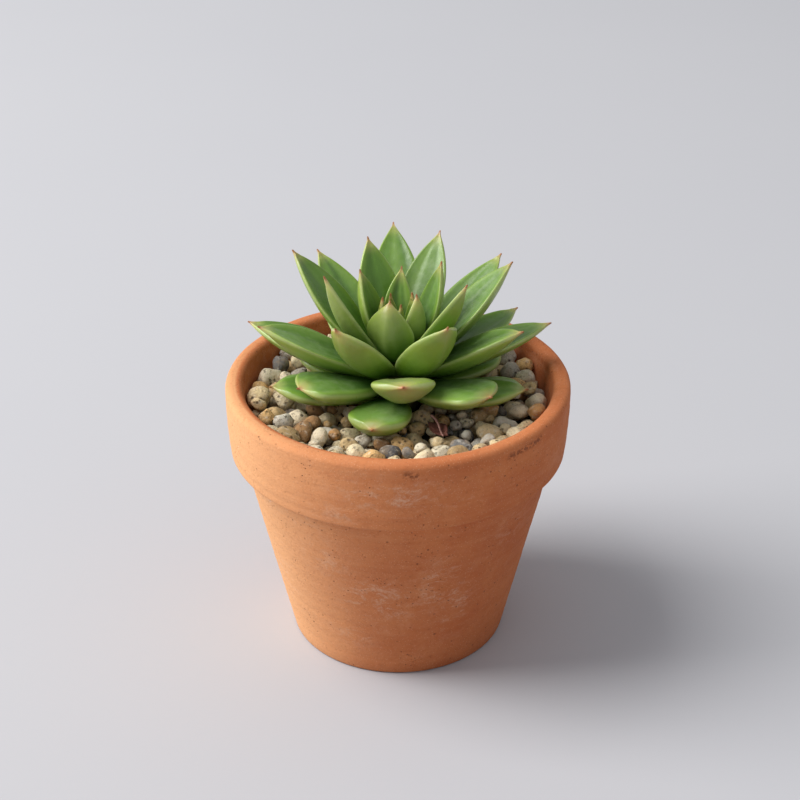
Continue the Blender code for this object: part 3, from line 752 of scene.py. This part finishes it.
def turned(profile, around, wobble, seed):
    """A turned form that closes on the axis at both ends; returns its points and faces."""
    inner = profile[1:-1]
    angle = np.arange(around) / around * math.tau
    points = [np.array([[0.0, 0.0, profile[0][1]]])]
    for r, z in inner:
        points.append(np.stack([r * np.cos(angle), r * np.sin(angle), np.full(around, z)], -1))
    points.append(np.array([[0.0, 0.0, profile[-1][1]]]))
    points = np.concatenate(points)
    faces = []
    for row in range(len(inner) - 1):
        for step in range(around):
            following = (step + 1) % around
            a = 1 + row * around + step
            b = 1 + row * around + following
            faces.append((a, a + around, b + around, b))
    last = 1 + (len(inner) - 1) * around
    for step in range(around):
        following = (step + 1) % around
        faces.append((0, 1 + step, 1 + following))
        faces.append((len(points) - 1, last + following, last + step))
    shift = wobble * wave_noise(points, seed, 0.9, 3)
    out = points.copy()
    out[:, 2] = 0
    reach = np.linalg.norm(out, axis=1)
    points += out / np.maximum(reach, 1e-6)[:, None] * shift[:, None]
    return points, faces


def build_soil(material):
    """Soil that fills the pot below the stones, with crumbs on top and where the drainage hole shows it."""
    across_top = np.linspace(1.5, inner_radius(SOIL_TOP) - 0.6, 34)
    profile = [(0.0, SOIL_TOP)] + [(float(r), SOIL_TOP) for r in across_top]
    profile += [(float(inner_radius(z)) - 0.3, z) for z in (74.0, COLLAR_Z, 50.0, 30.0, 10.0)]
    profile += [(27.0, SOIL_FLOOR), (7.0, SOIL_FLOOR), (0.0, SOIL_FLOOR)]
    points, faces = turned(profile, 120, 0.0, 3)
    crumbs = 0.9 * wave_noise(points, 61, 0.8, 3) * (points[:, 2] > SOIL_TOP - 1)
    crumbs += 0.35 * wave_noise(points, 62, 1.7, 2) * (points[:, 2] < SOIL_FLOOR + 0.1)
    points[:, 2] += crumbs
    make_piece("soil_mix", points, faces, material, ("soil",))


def build_stem(material):
    (_, top), (_, bottom) = STEM_PROFILE[0], STEM_PROFILE[-1]
    profile = [(0.0, top)]
    for z in np.linspace(top - 0.3, bottom + 0.4, 70):
        ripple = 0.25 * math.sin(z * 2.4) * (z > 80)
        profile.append((stem_radius(z) + ripple, float(z)))
    profile.append((0.0, bottom))
    points, faces = turned(profile, 36, 0.25, 5)
    make_piece("stem_wood", points, faces, material, ("stem",))


def tube(path, thick, around=10):
    """A closed thin stalk along a path of points."""
    path = np.asarray(path, float)
    ahead = np.gradient(path, axis=0)
    ahead /= np.linalg.norm(ahead, axis=1)[:, None]
    side = np.cross(ahead, [0, 0, 1.0])
    side /= np.linalg.norm(side, axis=1)[:, None]
    up = np.cross(side, ahead)
    angle = np.arange(around) / around * math.tau
    points = [p + r * (np.outer(np.cos(angle), a) + np.outer(np.sin(angle), b))
              for p, r, a, b in zip(path, thick, side, up)]
    return np.concatenate(points), capped_faces(len(path), around)


def build_dried_leaf(material):
    """A small twisted leaf with its stalk, lying on the stones."""
    leaf = dict(zip(KEYS, DRIED_LEAF), tip_radius=12.0, tip_z=1.2, base_z=0.0, base_radius=0.0)
    points, places = leaf_surface(leaf, 0, 90)
    points[:, 2] += 0.45 * wave_noise(points, 91, 0.9, 3)
    twist = 0.9 * (places[:, 0] - 0.5)
    y = points[:, 1] * np.cos(twist) - points[:, 2] * np.sin(twist)
    z = points[:, 1] * np.sin(twist) + points[:, 2] * np.cos(twist)
    points = np.stack([points[:, 0], y, z], -1)
    faces = capped_faces(STATIONS, AROUND)
    share = np.linspace(0, 1, 24)
    path = np.stack([11.5 * share - 0.5, 1.2 - 2.4 * share + 0.5 * np.sin(share * 5), 1.9 - 0.8 * share], -1)
    stalk, stalk_faces = tube(path, 0.42 - 0.2 * share)
    faces = faces + [tuple(index + len(points) for index in face) for face in stalk_faces]
    colours = np.ones((len(points) + len(stalk), 3)) * linear(104, 56, 44)
    colours[len(points):] = linear(186, 140, 130)
    points = spin(np.concatenate([points, stalk]), DRIED_TURN) + np.array(DRIED_PLACE)
    piece = make_piece("dried_leaf_skin", points, faces, material, ("dried_leaf",))
    paint(piece, "dry_paint", colours)


# ---------------------------------------------------------------- stones
# Stone colours, each with how common it is.
STONE_TINTS = [
    ((238, 220, 182), 7), ((230, 206, 160), 7), ((214, 186, 138), 5), ((240, 228, 200), 5),
    ((198, 168, 122), 4), ((210, 204, 188), 4), ((178, 172, 160), 3), ((124, 122, 120), 2),
    ((92, 92, 94), 1), ((204, 152, 98), 2), ((222, 180, 122), 3), ((166, 126, 86), 2), ((230, 214, 184), 5),
]
STONE_SECTORS = 8
STONE_TRIES = 1500
SPOTS_TRIED = 60
# Radii of the balls that stand for the stones while they are placed; every SMALL_EVERY-th is a small one.
STONE_SIZE = dict(median=3.1, spread=0.17, low=2.3, high=4.0)
SMALL_SIZE = (1.4, 2.0)
SMALL_EVERY = 10
BED_FLOOR = 74.6
BED_REACH = (7.0, 47.4)
STEM_SPACE = 6.4
PACKING = 0.95
LEAF_CLEARANCE = 0.75
# The stones are made this much larger than their balls, so that they touch.
STONE_SWELL = 1.14
SEED_LIMIT = 1e6


def ball(level):
    """Corners and faces of a ball of triangles."""
    mesh = bpy.data.meshes.new("ball")
    work = bmesh.new()
    bmesh.ops.create_icosphere(work, subdivisions=level, radius=1.0)
    work.to_mesh(mesh)
    work.free()
    points = np.array([v.co[:] for v in mesh.vertices])
    faces = np.array([tuple(p.vertices) for p in mesh.polygons])
    bpy.data.meshes.remove(mesh)
    return points, faces


def keep_out():
    """Points under the lowest leaves, which the stones stay clear of."""
    undersides = []
    for row in LEAVES["lower"]:
        points, places = leaf_surface(grown_leaf("lower", row, 0.0), row[0], 1)
        undersides.append(points[places[:, 2] < 0.5][::3])
    return np.concatenate(undersides)


def gravel_ceiling(x, y):
    """Highest that a stone may reach: low under the plant and round the dried leaf, higher at the wall."""
    dip = 1.2 * math.exp(-(((x - 12.5) ** 2 + (y + 23.5) ** 2) / 30.0))
    return 84.6 + 3.2 * float(smooth(math.hypot(x, y), 24, 45)) - dip


def resting_height(x, y, size, centres, radii):
    """Height where a stone dropped at a spot comes to rest, on the bed's floor or on other stones."""
    away = np.hypot(centres[:, 0] - x, centres[:, 1] - y)
    touching = PACKING * (radii + size)
    near = away < touching
    if not near.any():
        return BED_FLOOR + size
    tops = centres[near, 2] + np.sqrt(touching[near] ** 2 - away[near] ** 2)
    return max(BED_FLOOR + size, float(tops.max()))


def place_stones():
    """Stones dropped one by one where each comes to rest lowest: a dense bed in a few layers."""
    rng = np.random.default_rng(12)
    leaves = keep_out()
    centres = np.zeros((0, 3))
    radii = np.zeros(0)
    nearest, farthest = BED_REACH
    for number in range(STONE_TRIES):
        size = rng.lognormal(math.log(STONE_SIZE["median"]), STONE_SIZE["spread"])
        size = float(np.clip(size, STONE_SIZE["low"], STONE_SIZE["high"]))
        if number % SMALL_EVERY == SMALL_EVERY - 1:
            size = float(rng.uniform(*SMALL_SIZE))
        best = None
        for _ in range(SPOTS_TRIED):
            reach = math.sqrt(rng.uniform(nearest ** 2, farthest ** 2))
            turn = rng.uniform(0, math.tau)
            x, y = reach * math.cos(turn), reach * math.sin(turn)
            z = resting_height(x, y, size, centres, radii)
            if reach + size > float(inner_radius(z)) + 0.3 or reach - size < STEM_SPACE:
                continue
            if z + 0.8 * size > gravel_ceiling(x, y):
                continue
            if best is None or z + 0.4 * size < best[2] + 0.4 * best[3]:
                best = (x, y, z, size)
        if best is None:
            continue
        x, y, z, size = best
        clear = np.linalg.norm(leaves - np.array([x, y, z]), axis=1).min()
        if clear < LEAF_CLEARANCE * size:
            continue
        centres = np.vstack([centres, [x, y, z]])
        radii = np.append(radii, size)
    return centres, radii


def stone_shape(points, rng):
    """A worn, slightly angular stone from a unit ball: lumps, flats cut by planes, then a rough skin."""
    shape = points * (1 + 0.15 * wave_noise(points, int(rng.integers(SEED_LIMIT)), 1.7, 2))[:, None]
    for _ in range(int(rng.integers(8, 14))):
        normal = rng.normal(size=3)
        normal /= np.linalg.norm(normal)
        over = np.maximum(0, shape @ normal - rng.uniform(0.66, 0.9))
        shape = shape - 0.85 * over[:, None] * normal
    shape = shape * (1 + 0.06 * wave_noise(points, int(rng.integers(SEED_LIMIT)), 5.0, 3))[:, None]
    stretch = np.array([1.0, rng.uniform(0.76, 1.0), rng.uniform(0.66, 0.9)])
    shape = shape / np.abs(shape).max(0) * stretch
    turn = rng.uniform(0, math.tau)
    tilt = rng.normal(0, 0.35, 2)
    spin = np.array([[math.cos(turn), -math.sin(turn), 0], [math.sin(turn), math.cos(turn), 0], [0, 0, 1]])
    (cos_x, sin_x), (cos_y, sin_y) = ((math.cos(lean), math.sin(lean)) for lean in tilt)
    lean_x = np.array([[1, 0, 0], [0, cos_x, -sin_x], [0, sin_x, cos_x]])
    lean_y = np.array([[cos_y, 0, sin_y], [0, 1, 0], [-sin_y, 0, cos_y]])
    return shape @ (lean_x @ lean_y @ spin).T


def build_stones(material):
    """The stones, with finer ones on top, joined into one piece for each sector of the bed."""
    centres, radii = place_stones()
    fine, fine_faces = ball(3)
    plain, plain_faces = ball(2)
    rng = np.random.default_rng(33)
    tints = np.array([linear(*tint) for tint, _ in STONE_TINTS])
    odds = np.array([weight for _, weight in STONE_TINTS], float)
    sectors = [([], [], []) for _ in range(STONE_SECTORS)]
    counts = [0] * STONE_SECTORS
    for centre, radius in zip(centres, radii):
        on_top = centre[2] + radius > gravel_ceiling(centre[0], centre[1]) - 4.5
        ball_points, ball_faces = (fine, fine_faces) if on_top else (plain, plain_faces)
        points = stone_shape(ball_points, rng) * radius * STONE_SWELL + centre
        reach = np.hypot(points[:, 0], points[:, 1])
        wall = inner_radius(points[:, 2]) - 0.15
        shrink = np.minimum(1.0, wall / np.maximum(reach, 1e-6))
        points[:, :2] *= shrink[:, None]
        tint = tints[rng.choice(len(tints), p=odds / odds.sum())] * rng.uniform(0.9, 1.15)
        shade = 1 + 0.12 * wave_noise(points, int(rng.integers(SEED_LIMIT)), 0.7, 2)
        sector = int((math.atan2(centre[1], centre[0]) % math.tau) / math.tau * STONE_SECTORS) % STONE_SECTORS
        lists = sectors[sector]
        lists[0].append(points)
        lists[1].append(ball_faces + counts[sector])
        lists[2].append(np.clip(tint[None, :] * shade[:, None], 0, 1))
        counts[sector] += len(points)
    for number, (points, faces, colours) in enumerate(sectors, start=1):
        points, faces, colours = (np.concatenate(part) for part in (points, faces, colours))
        piece = make_piece(f"stones_{number}", points, faces.tolist(), material, ("gravel_bed",))
        paint(piece, "stone_paint", colours)


# ---------------------------------------------------------------- floor, camera, light
# Metres from here on.
FLOOR_REACH = 6.0
CAMERA_PLACE = (0.0006, -0.470, 0.3435)
CAMERA_DOWN = 29.08
CAMERA_LENS = 75.6
KEY_PLACE = (-2.00, 0.02, 1.98)
KEY_AIM = (0, 0, 0.06)
KEY_SIZE = (1.5, 2.7)
KEY_POWER = 110
KEY_COLOUR = (1.0, 0.985, 0.965)
SKY_COLOUR = (0.93, 0.96, 1.0, 1.0)
SKY_STRENGTH = 0.47


def build_floor(material):
    mesh = bpy.data.meshes.new("floor")
    size = FLOOR_REACH
    corners = [(-size, -size, 0), (size, -size, 0), (size, size, 0), (-size, size, 0)]
    mesh.from_pydata(corners, [], [(0, 1, 2, 3)])
    mesh.materials.append(material)
    floor = bpy.data.objects.new("floor", mesh)
    bpy.context.scene.collection.objects.link(floor)


def build_camera():
    data = bpy.data.cameras.new("camera")
    data.lens = CAMERA_LENS
    data.sensor_width = 36.0
    data.clip_start = 0.01
    camera = bpy.data.objects.new("camera", data)
    camera.location = CAMERA_PLACE
    camera.rotation_euler = (math.radians(90 - CAMERA_DOWN), 0, 0)
    bpy.context.scene.collection.objects.link(camera)
    bpy.context.scene.camera = camera


def build_lights():
    """A wide soft light from the left, and a pale even sky."""
    data = bpy.data.lights.new("key", "AREA")
    data.shape = "RECTANGLE"
    data.size, data.size_y = KEY_SIZE
    data.energy = KEY_POWER
    data.color = KEY_COLOUR
    light = bpy.data.objects.new("key", data)
    light.location = KEY_PLACE
    direction = Vector(KEY_AIM) - Vector(KEY_PLACE)
    light.rotation_euler = direction.to_track_quat("-Z", "Y").to_euler()
    bpy.context.scene.collection.objects.link(light)
    world = bpy.data.worlds.new("studio")
    world.use_nodes = True
    background = world.node_tree.nodes["Background"]
    background.inputs["Color"].default_value = SKY_COLOUR
    background.inputs["Strength"].default_value = SKY_STRENGTH
    bpy.context.scene.world = world
    bpy.context.scene.view_settings.view_transform = "Standard"


build_camera()
build_lights()
build_floor(floor_material())
build_pot(terracotta_material())
build_soil(soil_material())
build_stem(stem_material())
build_dried_leaf(dried_material())
build_stones(stone_material())
build_leaves(leaf_material())
